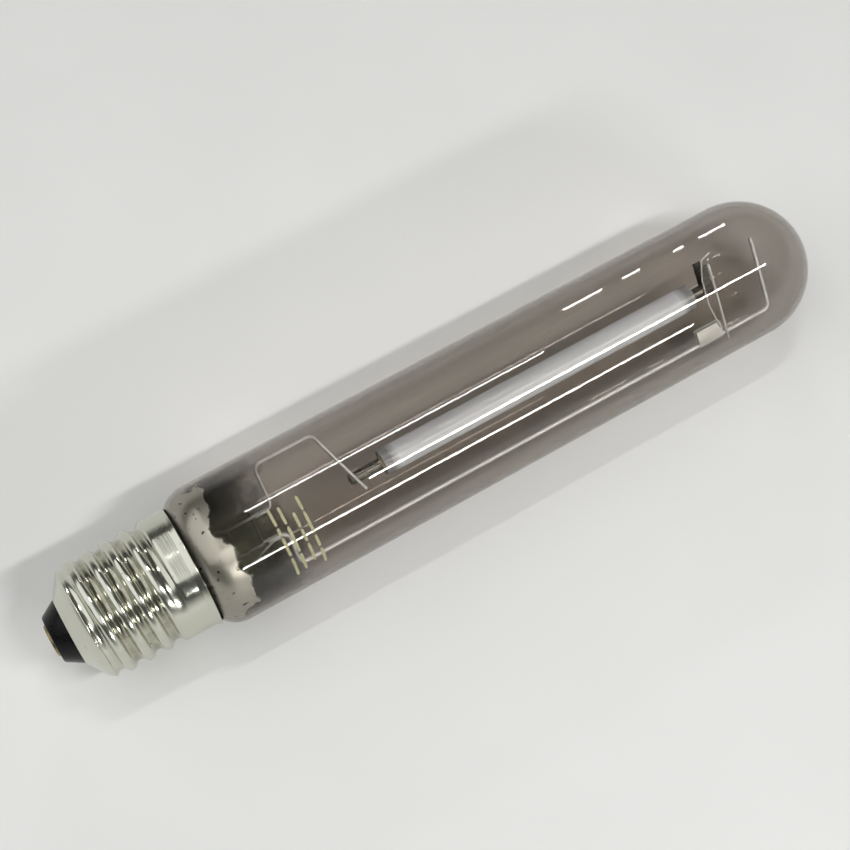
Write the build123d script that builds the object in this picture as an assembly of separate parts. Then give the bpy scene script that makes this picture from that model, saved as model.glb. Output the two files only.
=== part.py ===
from build123d import *
from math import asin, atan2, ceil, cos, hypot, radians, sin, tan
import os

# High pressure sodium lamp with a tubular clear bulb and an E40 screw cap.
# Millimetres. The lamp axis is +X, from the outer face of the centre contact to the dome.

# Bulb: blown hard glass with a domed end, drawn in to a neck. The roundings are bend radii as
# multiples of the shoulder's height
overall_length = 276.0
bulb_diameter = 46.5
bulb_wall = 1.1
neck_cement_gap = 0.7
neck_end_x = 27.0
shoulder_foot_x = 45.7
shoulder_slope = 45.0
shoulder_rounding = 1.63
neck_rounding = 0.62

# Cap shell: sheet with the E40 thread, right-handed, its round crests and roots drawn as flats.
# The turn is the angle about the lamp axis at which the thread begins
thread_crest_diameter = 39.4
thread_depth = 1.8
thread_pitch = 6.35
thread_flat = 1.5
thread_end_x = 41.6
thread_turn = 108.0
thread_clear = 0.5
shell_sheet = 0.4
shell_foot_x = 6.2
shell_foot_diameter = 22.0
shell_foot_slope = 57.0
shell_foot_radius = 7.0
rim_x = 48.0
rim_flare = 0.6
rim_flare_length = 2.0

# Cap foot: moulded black glass with the centre contact in it
contact_diameter = 10.4
contact_thickness = 1.6
contact_stand_out = 0.8
contact_shank_diameter = 3.0
contact_bevel = 0.4
insulator_face_diameter = 16.0
insulator_bevel = 0.8
insulator_inner_x = 9.0
lead_hole_diameter = 1.0
cement_depth = 10.0

# Stem: flared foot, tube and flat press, all of one glass
stem_tube_diameter = 15.4
stem_wall = 1.2
flare_slope = 58.0
flare_bend_radius = 6.0
flange_thickness = 1.2
flange_width = 3.0
press_start_x = 56.0
press_length = 15.0
press_taper = 7.0
press_thickness = 5.0
exhaust_diameter = 5.0
exhaust_wall = 0.9
exhaust_tip_x = 22.0

# Mount: the frame rod, wires and getters, all lined up on one plane through the lamp axis
mount_roll = -130.0
weld_gap = 0.05
lead_spacing = 10.0
seal_wire_diameter = 0.9
seal_wire_length = 27.0
seal_wire_stand_out = 6.0
outer_lead_diameter = 0.8
side_lead_diameter = 0.4
side_lead_gap = 0.1
lead_bend_radius = 2.0
frame_rod_diameter = 1.5
frame_wall_gap = 4.35
frame_rise_x = 79.0
frame_hook_from_dome = 16.2
frame_hook_reach = 9.8
frame_bend_radius = 2.4
support_wire_diameter = 1.0
support_wall_gap = 1.35
support_rise_x = 78.0
support_fall_before_tube = 17.3
support_end_before_tube = 8.2
support_overrun = 4.0
support_bend_radius = 2.4
cross_wire_from_tip = 1.1
cross_wire_diameter = 0.9
cross_wire_beyond_frame = 2.6
cross_wire_beyond_tube = 9.0
strap_width = 2.8
strap_sheet = 0.25
strap_reach = 9.0
flexible_lead_diameter = 0.5
flexible_lead_hook = 3.6
flexible_lead_bow = 2.4
flexible_lead_bend = 4.0
flexible_lead_end_bend = 1.2
getter_strip_length = 9.5
getter_strip_leaf = 5.5
getter_strip_sheet = 0.3
getter_ring_x = 57.0
getter_ring_diameter = 9.0
getter_ring_width = 1.6
getter_ring_height = 1.3
getter_ring_sheet = 0.3
getter_ring_wall_gap = 7.15
getter_post_diameter = 0.6
getter_post_weld = 3.0

# Arc tube: translucent ceramic, with a metal tube, an electrode and a seal at each end
arc_tube_from_dome = 42.5
arc_tube_share = 0.4268
arc_tube_diameter = 8.8
arc_tube_wall = 0.75
plug_length = 4.0
plug_recess = 0.4
niobium_diameter = 4.0
niobium_wall = 0.3
niobium_base_length = 12.0
niobium_dome_length = 9.6
frit_width = 0.8
electrode_rod_diameter = 1.2
electrode_reach = 9.0
coil_wire_diameter = 0.7
coil_turns = 5
coil_tip = 1.4
amalgam_diameter = 2.0
fit_gap = 0.03

# Solder
contact_solder_height = 0.8
side_solder_diameter = 2.4
side_solder_height = 0.6
side_solder_taper = 15.0

# Worked out from the sizes above
bulb_radius = bulb_diameter / 2
bulb_bore_radius = bulb_radius - bulb_wall
dome_centre_x = overall_length - bulb_radius
crest_radius = thread_crest_diameter / 2
root_radius = crest_radius - thread_depth
shell_bore_radius = root_radius - shell_sheet
neck_radius = shell_bore_radius - neck_cement_gap
shoulder_radius = shoulder_rounding * (bulb_radius - neck_radius)
neck_bend_radius = neck_rounding * (bulb_radius - neck_radius)
collar_inner_radius = crest_radius - shell_sheet
press_end_x = press_start_x + press_length
seal_inner_x = press_end_x + seal_wire_stand_out
seal_outer_x = seal_inner_x - seal_wire_length
lead_offset = lead_spacing / 2
frame_lift = (seal_wire_diameter + frame_rod_diameter) / 2 + weld_gap
support_lift = (seal_wire_diameter + support_wire_diameter) / 2 + weld_gap
arc_tube_length = overall_length * arc_tube_share
arc_dome_x = overall_length - arc_tube_from_dome
arc_base_x = arc_dome_x - arc_tube_length
light_centre_x = (arc_base_x + arc_dome_x) / 2
arc_bore_radius = arc_tube_diameter / 2 - arc_tube_wall
niobium_radius = niobium_diameter / 2
frame_rod_offset = bulb_bore_radius - frame_wall_gap
frame_hook_x = overall_length - frame_hook_from_dome
support_offset = bulb_bore_radius - support_wall_gap
support_fall_x = arc_base_x - support_fall_before_tube
support_end_x = arc_base_x - support_end_before_tube
cross_wire_x = arc_dome_x + niobium_dome_length - cross_wire_from_tip
getter_ring_offset = bulb_bore_radius - getter_ring_wall_gap


def turned(*lines):
    """A solid of revolution about the lamp axis, from a closed outline of (x, radius) lines."""
    edges = [edge for line in lines for edge in line.edges()]
    return revolve(make_face(edges), axis=Axis.X)


def ring(start_x, end_x, outer_radius, inner_radius=0.0):
    """A plain turned ring, or a disc where there is no inner radius."""
    return turned(Polyline(
        (start_x, inner_radius),
        (end_x, inner_radius),
        (end_x, outer_radius),
        (start_x, outer_radius),
        close=True,
    ))


def bent_wire(points, diameter, bends):
    """A round wire along straight runs joined by tangent arcs."""
    path = FilletPolyline(*points, radius=bends)
    section = Plane(path @ 0, z_dir=path % 0) * Circle(diameter / 2)
    return sweep(section, path=path)


def straight_wire(start, end, diameter):
    """A round wire from one point to the other."""
    path = Line(start, end)
    return sweep(Plane(path @ 0, z_dir=path % 0) * Circle(diameter / 2), path=path)


def bulb_envelope(inset, start_x):
    """The bulb's outer form, or the space inside it where inset is the glass wall."""
    shift = inset * tan(radians(shoulder_slope / 2))
    shoulder_top_x = shoulder_foot_x + (bulb_radius - neck_radius) / tan(radians(shoulder_slope))
    radius = bulb_radius - inset
    side = FilletPolyline(
        (start_x, neck_radius - inset),
        (shoulder_foot_x + shift, neck_radius - inset),
        (shoulder_top_x + shift, radius),
        (dome_centre_x, radius),
        radius=[neck_bend_radius + inset, shoulder_radius - inset],
    )
    dome = CenterArc((dome_centre_x, 0), radius, 90, -90)
    close = Polyline((dome_centre_x + radius, 0), (start_x, 0), (start_x, neck_radius - inset))
    return turned(side, dome, close)


def outer_bulb():
    return bulb_envelope(0, neck_end_x) - bulb_envelope(bulb_wall, neck_end_x - bulb_wall)


def foot_cone_radius(x, inset=0.0):
    """Radius of the shell's conical foot at x, at a depth inside its outer face."""
    slope = radians(shell_foot_slope)
    return shell_foot_diameter / 2 - inset / cos(slope) + (x - shell_foot_x) * tan(slope)


def foot_cone_x(radius, inset=0.0):
    """Where the shell's conical foot reaches a radius, at a depth inside its outer face."""
    slope = radians(shell_foot_slope)
    return shell_foot_x + (radius - shell_foot_diameter / 2 + inset / cos(slope)) / tan(slope)


def groove_turns():
    """The groove between the turns, in lengths of one turn: it comes in over the rounded foot and
    stops at the collar."""
    bottom = thread_flat / 2
    top = (thread_pitch - thread_flat) / 2
    start_x = foot_cone_x(root_radius) - top
    length = thread_end_x - top - start_x
    profile = make_face(Polyline(
        (-bottom, 0),
        (-top, thread_depth),
        (-top, thread_depth + thread_clear),
        (top, thread_depth + thread_clear),
        (top, thread_depth),
        (bottom, 0),
        close=True,
    ))
    turns = []
    for index in range(ceil(length / thread_pitch)):
        done = index * thread_pitch
        run = min(thread_pitch, length - done)
        centre = (start_x + done, 0, 0)
        path = Helix(thread_pitch, run, root_radius, center=centre, direction=(1, 0, 0))
        begin = path @ 0
        outward = Vector(0, begin.Y, begin.Z).normalized()
        across = Plane(begin, x_dir=(1, 0, 0), z_dir=Vector(1, 0, 0).cross(outward))
        turns.append(Rot(thread_turn, 0, 0) * sweep(across * profile, path=path, is_frenet=True))
    return turns


def turned_shell():
    """Rounded foot, plain wall, collar and flared rim, with a plain bore behind the wall."""
    flare_x = rim_x - rim_flare_length
    step_x = thread_end_x + shell_sheet
    outside = FilletPolyline(
        (shell_foot_x, foot_cone_radius(shell_foot_x)),
        (foot_cone_x(crest_radius), crest_radius),
        (flare_x, crest_radius),
        radius=shell_foot_radius,
    )
    rest = Polyline(
        (flare_x, crest_radius),
        (rim_x, crest_radius + rim_flare),
        (rim_x, collar_inner_radius + rim_flare),
        (flare_x, collar_inner_radius),
        (step_x, collar_inner_radius),
        (step_x, shell_bore_radius),
        (foot_cone_x(shell_bore_radius, shell_sheet), shell_bore_radius),
        (shell_foot_x, foot_cone_radius(shell_foot_x, shell_sheet)),
        (shell_foot_x, foot_cone_radius(shell_foot_x)),
    )
    return turned(outside, rest)


def cap_shell():
    """The turned shell with the thread cut into it, one turn after the other."""
    shell = turned_shell()
    for turn in groove_turns():
        shell -= turn
    return shell


def cap_insulator():
    """Black glass foot: a cone outside, and a plug that fills the foot of the shell."""
    face_radius = insulator_face_diameter / 2
    return turned(Polyline(
        (contact_stand_out, 0),
        (contact_stand_out, face_radius - insulator_bevel),
        (contact_stand_out + insulator_bevel, face_radius),
        (shell_foot_x, shell_foot_diameter / 2),
        (shell_foot_x, foot_cone_radius(shell_foot_x, shell_sheet)),
        (insulator_inner_x, foot_cone_radius(insulator_inner_x, shell_sheet)),
        (insulator_inner_x, 0),
        close=True,
    )) - contact_body()


def contact_body():
    """The contact's disc and shank, without the bore for its lead."""
    radius = contact_diameter / 2
    shank = contact_shank_diameter / 2
    return turned(Polyline(
        (0, 0),
        (0, radius - contact_bevel),
        (contact_bevel, radius),
        (contact_thickness, radius),
        (contact_thickness, shank),
        (insulator_inner_x, shank),
        (insulator_inner_x, 0),
        close=True,
    ))


def centre_contact():
    """Pressed contact with a hollow shank that takes the lead."""
    return contact_body() - ring(contact_thickness, insulator_inner_x, lead_hole_diameter / 2)


def contact_solder():
    """Solder cone round the lead, on the inner end of the contact's shank."""
    outer = contact_shank_diameter / 2
    inner = outer_lead_diameter / 2
    end_x = insulator_inner_x + contact_solder_height
    return turned(Polyline(
        (insulator_inner_x, inner),
        (end_x, inner),
        (insulator_inner_x, outer),
        close=True,
    ))


def basing_cement(shell_lead):
    """Cement between the shell and the straight neck, with a channel for the shell's lead."""
    step_x = thread_end_x + shell_sheet
    end_x = shoulder_foot_x - neck_bend_radius * tan(radians(shoulder_slope / 2))
    start_x = end_x - cement_depth
    return turned(Polyline(
        (start_x, neck_radius),
        (end_x, neck_radius),
        (end_x, collar_inner_radius),
        (step_x, collar_inner_radius),
        (step_x, shell_bore_radius),
        (start_x, shell_bore_radius),
        close=True,
    )) - shell_lead


def stem_outline(inset):
    """Foot and corner of the flared tube, at a depth inside its outer face."""
    slope = radians(flare_slope)
    foot_x = neck_end_x - flange_thickness
    radius = stem_tube_diameter / 2
    corner_x = foot_x + (neck_radius - radius) / tan(slope) - inset * tan(slope / 2)
    foot_radius = radius - inset + (corner_x - foot_x) * tan(slope)
    return (foot_x, foot_radius), (corner_x, radius - inset)


def stem():
    """Flare, tube and press: the tube is pinched flat over the two seal wires."""
    foot, corner = stem_outline(0)
    inner_foot, inner_corner = stem_outline(stem_wall)
    radius = stem_tube_diameter / 2
    bore_end_x = press_start_x - stem_wall
    flare = FilletPolyline(foot, corner, (press_end_x, radius), radius=flare_bend_radius)
    rest = Polyline(
        (press_end_x, radius),
        (press_end_x, 0),
        (bore_end_x, 0),
        (bore_end_x, radius - stem_wall),
        inner_corner,
        inner_foot,
        foot,
    )
    flange = ring(foot[0], neck_end_x, neck_radius, neck_radius - flange_width)
    thin = press_thickness / 2
    wedge = make_face(Polyline(
        (press_start_x, radius),
        (press_end_x, radius),
        (press_end_x, thin),
        (press_start_x + press_taper, thin),
        close=True,
    ))
    cut = extrude(Plane.XZ * wedge, amount=radius, both=True)
    pinched = turned(flare, rest) - cut - mirror(cut, about=Plane.XY)
    return pinched + flange - seal_wire(1) - seal_wire(-1)


def exhaust_tube():
    """Pumping tube, drawn down and melted shut inside the cap."""
    radius = exhaust_diameter / 2
    bore = radius - exhaust_wall
    end_x = press_start_x - stem_wall
    return turned(Polyline(
        (exhaust_tip_x, 0),
        (exhaust_tip_x, exhaust_wall),
        (exhaust_tip_x + exhaust_diameter, radius),
        (end_x, radius),
        (end_x, bore),
        (exhaust_tip_x + exhaust_diameter, bore),
        (exhaust_tip_x + 2 * exhaust_wall, 0),
        close=True,
    ))


def seal_wire(side):
    """Rod sealed through the press, on the frame's side (1) or the support's side (-1)."""
    place = side * lead_offset
    return straight_wire((seal_outer_x, place, 0), (seal_inner_x, place, 0), seal_wire_diameter)


def outer_lead_centre():
    """Lead from the support's seal wire to the bore of the centre contact."""
    return bent_wire(
        [
            (seal_outer_x, -lead_offset, 0),
            (exhaust_tip_x - lead_bend_radius, -lead_offset, 0),
            (insulator_inner_x + lead_offset, 0, 0),
            (contact_thickness + weld_gap, 0, 0),
        ],
        outer_lead_diameter,
        lead_bend_radius,
    )


def outer_lead_side():
    """Lead from the frame's seal wire, round the flange and up the neck to the rim."""
    lift = side_lead_gap + side_lead_diameter / 2
    radius = neck_radius + lift
    slope = radians(shoulder_slope)
    turn_x = shoulder_foot_x - lift * tan(slope / 2)
    under_x = exhaust_tip_x - lead_bend_radius
    end_x = rim_x + side_lead_diameter
    return bent_wire(
        [
            (seal_outer_x, lead_offset, 0),
            (under_x, lead_offset, 0),
            (under_x, radius, 0),
            (turn_x, radius, 0),
            (end_x, radius + (end_x - turn_x) * tan(slope), 0),
        ],
        side_lead_diameter,
        [lead_bend_radius, lead_bend_radius, neck_bend_radius - lift],
    )


def side_solder(shell_lead):
    """Solder bead that joins the lead to the outside of the rim."""
    base = collar_inner_radius
    top = crest_radius + rim_flare + side_solder_height
    radius = side_solder_diameter / 2
    place = Plane((rim_x - radius, 0, 0), x_dir=(1, 0, 0), z_dir=(0, 1, 0)).offset(base)
    bead = extrude(place * Circle(radius), amount=top - base, taper=side_solder_taper)
    bead = Rot(mount_roll, 0, 0) * bead - turned_shell() - shell_lead
    return bead.solids().sort_by(SortBy.VOLUME)[-1]


def frame_rod():
    """Rod welded beside its seal wire, led out to the bulb wall and hooked across the dome."""
    lift = -frame_lift
    return bent_wire(
        [
            (press_end_x + frame_rod_diameter, lead_offset, lift),
            (frame_rise_x, lead_offset, lift),
            (frame_rise_x, frame_rod_offset, lift),
            (frame_hook_x, frame_rod_offset, lift),
            (frame_hook_x, -frame_hook_reach, lift),
        ],
        frame_rod_diameter,
        frame_bend_radius,
    )


def support_wire():
    """Wire welded beside its seal wire, bowed out and brought back across the base end tube."""
    lift = -support_lift
    reach = hypot(support_offset, support_lift)
    touch = niobium_radius + support_wire_diameter / 2 + weld_gap
    heading = atan2(support_lift, support_offset) - asin(touch / reach)
    run = (support_offset + support_overrun) / cos(heading)
    return bent_wire(
        [
            (press_end_x + support_wire_diameter, -lead_offset, lift),
            (support_rise_x, -lead_offset, lift),
            (support_rise_x, -support_offset, lift),
            (support_fall_x, -support_offset, lift),
            (support_end_x, support_overrun, lift + run * sin(heading)),
        ],
        support_wire_diameter,
        support_bend_radius,
    )


def cross_wire():
    """Straight wire on the near side of the dome end tube and of the frame rod, touching both."""
    tube_touch = niobium_radius + cross_wire_diameter / 2 + weld_gap
    frame_touch = (frame_rod_diameter + cross_wire_diameter) / 2 + weld_gap
    reach = hypot(frame_rod_offset, frame_lift)
    heading = asin((tube_touch - frame_touch) / reach) - atan2(frame_lift, frame_rod_offset)
    along = Vector(0, cos(heading), sin(heading))
    across = Vector(0, sin(heading), -cos(heading))
    foot = Vector(cross_wire_x, 0, 0) + across * tube_touch
    start = foot - along * cross_wire_beyond_tube
    end = foot + along * (frame_rod_offset + cross_wire_beyond_frame)
    return straight_wire(start, end, cross_wire_diameter)


def folded_strip(place, inner, outer, leaf, width):
    """A strip folded round a rod, with both leaves led away from it, and its dome end at a place."""
    section = make_face([
        *CenterArc((0, 0), outer, -90, 180).edges(),
        *CenterArc((0, 0), inner, -90, 180).edges(),
        *Polyline((0, outer), (-leaf, outer), (-leaf, inner), (0, inner)).edges(),
        *Polyline((0, -outer), (-leaf, -outer), (-leaf, -inner), (0, -inner)).edges(),
    ])
    return extrude(Plane(place, x_dir=(0, 1, 0), z_dir=(1, 0, 0)) * section, amount=-width)


def niobium_strap():
    """Ribbon folded round the dome end tube, with both legs led away from the frame rod."""
    inner = niobium_radius + fit_gap
    outer = inner + strap_sheet
    end_x = cross_wire_x - cross_wire_diameter / 2 - weld_gap
    return folded_strip((end_x, 0, 0), inner, outer, strap_reach, strap_width)


def strip_fold():
    """Inner and outer radius of the getter strip's fold round the frame rod."""
    inner = frame_rod_diameter / 2 + fit_gap
    return inner, inner + getter_strip_sheet


def getter_strip():
    """Strip folded round the frame rod, with two leaves that point at the arc tube."""
    inner, outer = strip_fold()
    place = (strip_end_x(), frame_rod_offset, -frame_lift)
    return folded_strip(place, inner, outer, getter_strip_leaf, getter_strip_length)


def strip_end_x():
    """Dome end of the getter strip, just short of the cross wire."""
    return cross_wire_x - cross_wire_diameter / 2 - cross_wire_diameter


def flexible_lead():
    """Thin wire from the getter strip past the dome end tube, bowed, with a hooked end."""
    inner, outer = strip_fold()
    lift = -(frame_lift + outer + flexible_lead_diameter / 2 + weld_gap)
    clear_x = cross_wire_x - cross_wire_diameter / 2 - weld_gap - strap_width
    bow_x = clear_x - flexible_lead_diameter
    start_x = strip_end_x() - flexible_lead_diameter
    turn = strap_reach + flexible_lead_bow
    return bent_wire(
        [
            (start_x, frame_rod_offset - getter_strip_leaf + flexible_lead_bow, lift),
            (bow_x, lead_offset, lift),
            (bow_x, -strap_reach / 2, lift),
            (clear_x + flexible_lead_bow / 2, -turn, lift),
            (clear_x + flexible_lead_bow / 2 + flexible_lead_hook, -turn - flexible_lead_bow / 2, lift),
        ],
        flexible_lead_diameter,
        [flexible_lead_bend, flexible_lead_bend, flexible_lead_end_bend],
    )


def getter_ring():
    """Channel ring, open towards the neck, that holds the getter metal."""
    outer = getter_ring_diameter / 2
    inner = outer - getter_ring_width
    channel = ring(getter_ring_x, getter_ring_x + getter_ring_height, outer, inner)
    groove_start = getter_ring_x
    groove_end = getter_ring_x + getter_ring_height - getter_ring_sheet
    groove = ring(groove_start, groove_end, outer - getter_ring_sheet, inner + getter_ring_sheet)
    return Pos(0, lead_offset, -getter_ring_offset) * (channel - groove)


def getter_post():
    """Wire that holds the getter ring out from the frame rod."""
    edge = getter_ring_offset - getter_ring_diameter / 2 + getter_ring_width / 2
    start_x = getter_ring_x + getter_ring_height + weld_gap
    rod_side = frame_lift + (frame_rod_diameter + getter_post_diameter) / 2 + weld_gap
    weld_x = press_end_x + seal_wire_stand_out / 2
    return bent_wire(
        [
            (start_x, lead_offset, -edge),
            (start_x + lead_bend_radius, lead_offset, -edge),
            (weld_x, lead_offset, -rod_side),
            (weld_x + getter_post_weld, lead_offset, -rod_side),
        ],
        getter_post_diameter,
        lead_bend_radius,
    )


def arc_tube():
    return ring(arc_base_x, arc_dome_x, arc_tube_diameter / 2, arc_bore_radius)


def at_end(piece, side):
    """Places a piece made for the base end there (-1), or mirrored at the dome end (1)."""
    if side < 0:
        return piece
    return mirror(piece, about=Plane.YZ.offset(light_centre_x))


def end_plug(side):
    """Ceramic plug, bored for the metal end tube."""
    start_x = arc_base_x + plug_recess
    plug = ring(start_x, start_x + plug_length, arc_bore_radius, niobium_radius)
    return at_end(plug, side)


def niobium_tube(side, free_length):
    """End tube, closed to a blunt tip outside and open inside the plug."""
    inner = niobium_radius - niobium_wall
    tip_x = arc_base_x - free_length
    end_x = arc_base_x + plug_recess + plug_length
    tube = turned(Polyline(
        (tip_x, 0),
        (tip_x, niobium_radius / 2),
        (tip_x + niobium_radius / 2, niobium_radius),
        (end_x, niobium_radius),
        (end_x, inner),
        (tip_x + niobium_radius, inner),
        (tip_x + niobium_radius, 0),
        close=True,
    ))
    return at_end(tube, side)


def frit_seal(side):
    """Fillet of sealing glass between the plug's outer face and the end tube."""
    start_x = arc_base_x + plug_recess
    fillet_ring = turned(Polyline(
        (start_x, niobium_radius),
        (start_x, niobium_radius + frit_width),
        (start_x - frit_width, niobium_radius),
        close=True,
    ))
    return at_end(fillet_ring, side)


def electrode_rod(side):
    """Tungsten rod with a collar that is brazed into the end tube."""
    end_x = arc_base_x + plug_recess + plug_length
    inner = niobium_radius - niobium_wall
    rod = ring(end_x - plug_length / 2, end_x + electrode_reach, electrode_rod_diameter / 2)
    collar = ring(end_x - plug_length / 2, end_x - plug_length / 4, inner)
    return at_end(rod + collar, side)


def electrode_coil(side):
    """Close winding of tungsten wire on the rod, short of its tip, drawn as its outer form."""
    inner = electrode_rod_diameter / 2 + fit_gap
    end_x = arc_base_x + plug_recess + plug_length + electrode_reach - coil_tip
    winding = ring(end_x - coil_wire_diameter * coil_turns, end_x, inner + coil_wire_diameter, inner)
    return at_end(winding, side)


def amalgam_pellet():
    """Metal dose, lying on the floor of the arc tube's bore behind the base electrode."""
    radius = amalgam_diameter / 2
    start_x = arc_base_x + plug_recess + plug_length + fit_gap
    pellet = ring(start_x, start_x + amalgam_diameter, radius)
    return Pos(0, 0, radius - arc_bore_radius + fit_gap) * pellet


cap_and_glass = {
    "outer_bulb": outer_bulb(),
    "cap_shell": cap_shell(),
    "cap_insulator": cap_insulator(),
    "centre_contact": centre_contact(),
    "contact_solder": contact_solder(),
    "arc_tube": arc_tube(),
    "end_plug_base": end_plug(-1),
    "end_plug_dome": end_plug(1),
    "niobium_tube_base": niobium_tube(-1, niobium_base_length),
    "niobium_tube_dome": niobium_tube(1, niobium_dome_length),
    "frit_seal_base": frit_seal(-1),
    "frit_seal_dome": frit_seal(1),
    "electrode_rod_base": electrode_rod(-1),
    "electrode_rod_dome": electrode_rod(1),
    "electrode_coil_base": electrode_coil(-1),
    "electrode_coil_dome": electrode_coil(1),
    "amalgam_pellet": amalgam_pellet(),
    "exhaust_tube": exhaust_tube(),
}

# These lie on the mount's plane, which is turned about the lamp axis
mounted = {
    "stem": stem(),
    "seal_wire_frame": seal_wire(1),
    "seal_wire_support": seal_wire(-1),
    "outer_lead_centre": outer_lead_centre(),
    "outer_lead_side": outer_lead_side(),
    "frame_rod": frame_rod(),
    "support_wire": support_wire(),
    "cross_wire": cross_wire(),
    "niobium_strap": niobium_strap(),
    "flexible_lead": flexible_lead(),
    "getter_strip": getter_strip(),
    "getter_ring": getter_ring(),
    "getter_post": getter_post(),
}

nodes = dict(cap_and_glass)
for name, piece in mounted.items():
    nodes[name] = Rot(mount_roll, 0, 0) * piece
nodes["basing_cement"] = basing_cement(nodes["outer_lead_side"])
nodes["side_solder"] = side_solder(nodes["outer_lead_side"])

os.makedirs("parts", exist_ok=True)
for name, piece in nodes.items():
    export_step(piece, f"parts/{name}.step")
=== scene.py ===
import bpy
import numpy as np
from math import asin, atan2, cos, hypot, pi, radians, sin, tan
from mathutils import Matrix, Vector


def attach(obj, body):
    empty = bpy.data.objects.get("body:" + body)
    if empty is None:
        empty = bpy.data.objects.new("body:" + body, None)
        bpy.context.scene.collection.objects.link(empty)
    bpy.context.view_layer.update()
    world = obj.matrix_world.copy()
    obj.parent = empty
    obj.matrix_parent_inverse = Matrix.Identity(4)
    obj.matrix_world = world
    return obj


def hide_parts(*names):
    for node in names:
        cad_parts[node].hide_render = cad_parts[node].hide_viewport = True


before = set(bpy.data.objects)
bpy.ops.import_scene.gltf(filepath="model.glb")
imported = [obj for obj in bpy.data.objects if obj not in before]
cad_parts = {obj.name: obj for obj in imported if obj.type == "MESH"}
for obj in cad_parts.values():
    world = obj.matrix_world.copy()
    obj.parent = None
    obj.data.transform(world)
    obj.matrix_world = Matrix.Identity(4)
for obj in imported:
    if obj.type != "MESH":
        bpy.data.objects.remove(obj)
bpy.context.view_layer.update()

# The lamp in millimetres. Its axis is +X, from the outer face of the centre contact to the dome.
MM = 0.001
WELD_GAP = 0.05
FIT_GAP = 0.03

# Bulb
LENGTH = 276.0
BULB_R = 23.25
BULB_WALL = 1.1
NECK_R = 16.8
NECK_END = 27.0
SHOULDER_FOOT = 45.7
SHOULDER_SLOPE = radians(45.0)
SHOULDER_BEND = 1.63 * (BULB_R - NECK_R)
NECK_BEND = 0.62 * (BULB_R - NECK_R)

# Mirror film inside the neck
FILM_X = (44.0, 86.0)
FILM_GAP = 0.05
FILM_THICK = 0.03

# Print on the glass: the rows along X, the bars in each, and where each bar starts and ends, in degrees
PRINT_ROWS = (74.4, 77.4, 80.8, 83.8)
PRINT_COUNTS = (4, 3, 3, 4)
PRINT_FIRST = (101.0, 117, 125, 143, 103, 119, 143, 112, 126, 138, 102, 115, 135, 147)
PRINT_LAST = (115.0, 123, 141, 161, 117, 141, 159, 124, 136, 155, 113, 133, 145, 162)
PRINT_HALF = 0.44
PRINT_END_HALF = 0.28
PRINT_LIFT = (0.004, 0.03)

# Cap
CREST_R = 19.7
THREAD_DEPTH = 1.8
PITCH = 6.35
CREST_X = 28.95
CREST_ANGLE = radians(111.0)
THREAD_RUN_OUT = (37.5, 39.5)
THREAD_BLEND = 0.35
FOOT_X = 6.2
FOOT_R = 11.0
FOOT_SLOPE = radians(57.0)
FOOT_BEND = 7.0
COLLAR_X = 41.6
FLARE_X = 46.0
FLARE_BEND = 3.0
RIM_X = 48.0
RIM_FLARE = 0.6
RIM_EDGE_R = 0.2
SHEET = 0.4
BORE_R = CREST_R - THREAD_DEPTH - SHEET
COLLAR_BORE_R = CREST_R - SHEET
FACE_X = 0.8
FACE_R = 8.0
FACE_BEVEL = 0.8
FACE_BEND = 0.9
PLUG_END = 9.0
PLUG_R = 14.58
CONTACT_R = 5.2
CONTACT_END = 1.6
CONTACT_BEND = 0.5
CONTACT_HOLE_R = 0.5
SHANK_R = 1.5
JOINT_END = PLUG_END + 0.8
JOINT_HOLE_R = 0.4
CEMENT_LONG = 10.0
CEMENT_EDGE = 0.3
CEMENT_END = SHOULDER_FOOT - NECK_BEND * tan(SHOULDER_SLOPE / 2)
BEAD_R = 1.15
BEAD_HIGH = 1.15

# Stem
MOUNT_ROLL = radians(-130.0)
LEAD_OFFSET = 5.0
STEM_R = 7.7
STEM_WALL = 1.2
STEM_BEND = 6.0
STEM_MOUTH_R = 14.5
FLARE_SLOPE = radians(58.0)
PRESS_START = 56.0
PRESS_END = 71.0
PRESS_TAPER = 7.0
PRESS_HALF = 2.5
PRESS_EDGE = (0.2, 0.6)
PRESS_SQUARE = 0.45
SEAL_START = 50.0
SEAL_END = 77.0
SEAL_D = 0.9
EXHAUST_TIP = 22.0
EXHAUST_NECK = EXHAUST_TIP + 5
EXHAUST_R = 2.5
EXHAUST_BORE = 1.6

# Arc tube
ARC_BASE = 115.7
ARC_DOME = 233.5
ARC_BOTH = ARC_BASE + ARC_DOME
TUBE_R = 4.4
TUBE_BORE = 3.65
TUBE_EDGE = 0.15
PLUG_X = ARC_BASE + 0.4
PLUG_IN = PLUG_X + 4.0
NIOBIUM_R = 2.0
NIOBIUM_BORE = 1.7
BASE_TUBE_OUT = 12.0
DOME_TUBE_OUT = 9.6
TIP_BEND = 1.0
FRIT_R = 0.8
ROD_R = 0.6
ROD_END = PLUG_IN + 9.0
COIL_TURNS = 5
COIL_PITCH = 0.7
COIL_WIRE_R = 0.33
COIL_R = 0.98
COIL_START = ROD_END - 1.4 - COIL_TURNS * COIL_PITCH
DOSE_R = 0.98
DOSE_HALF = 1.0

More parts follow.
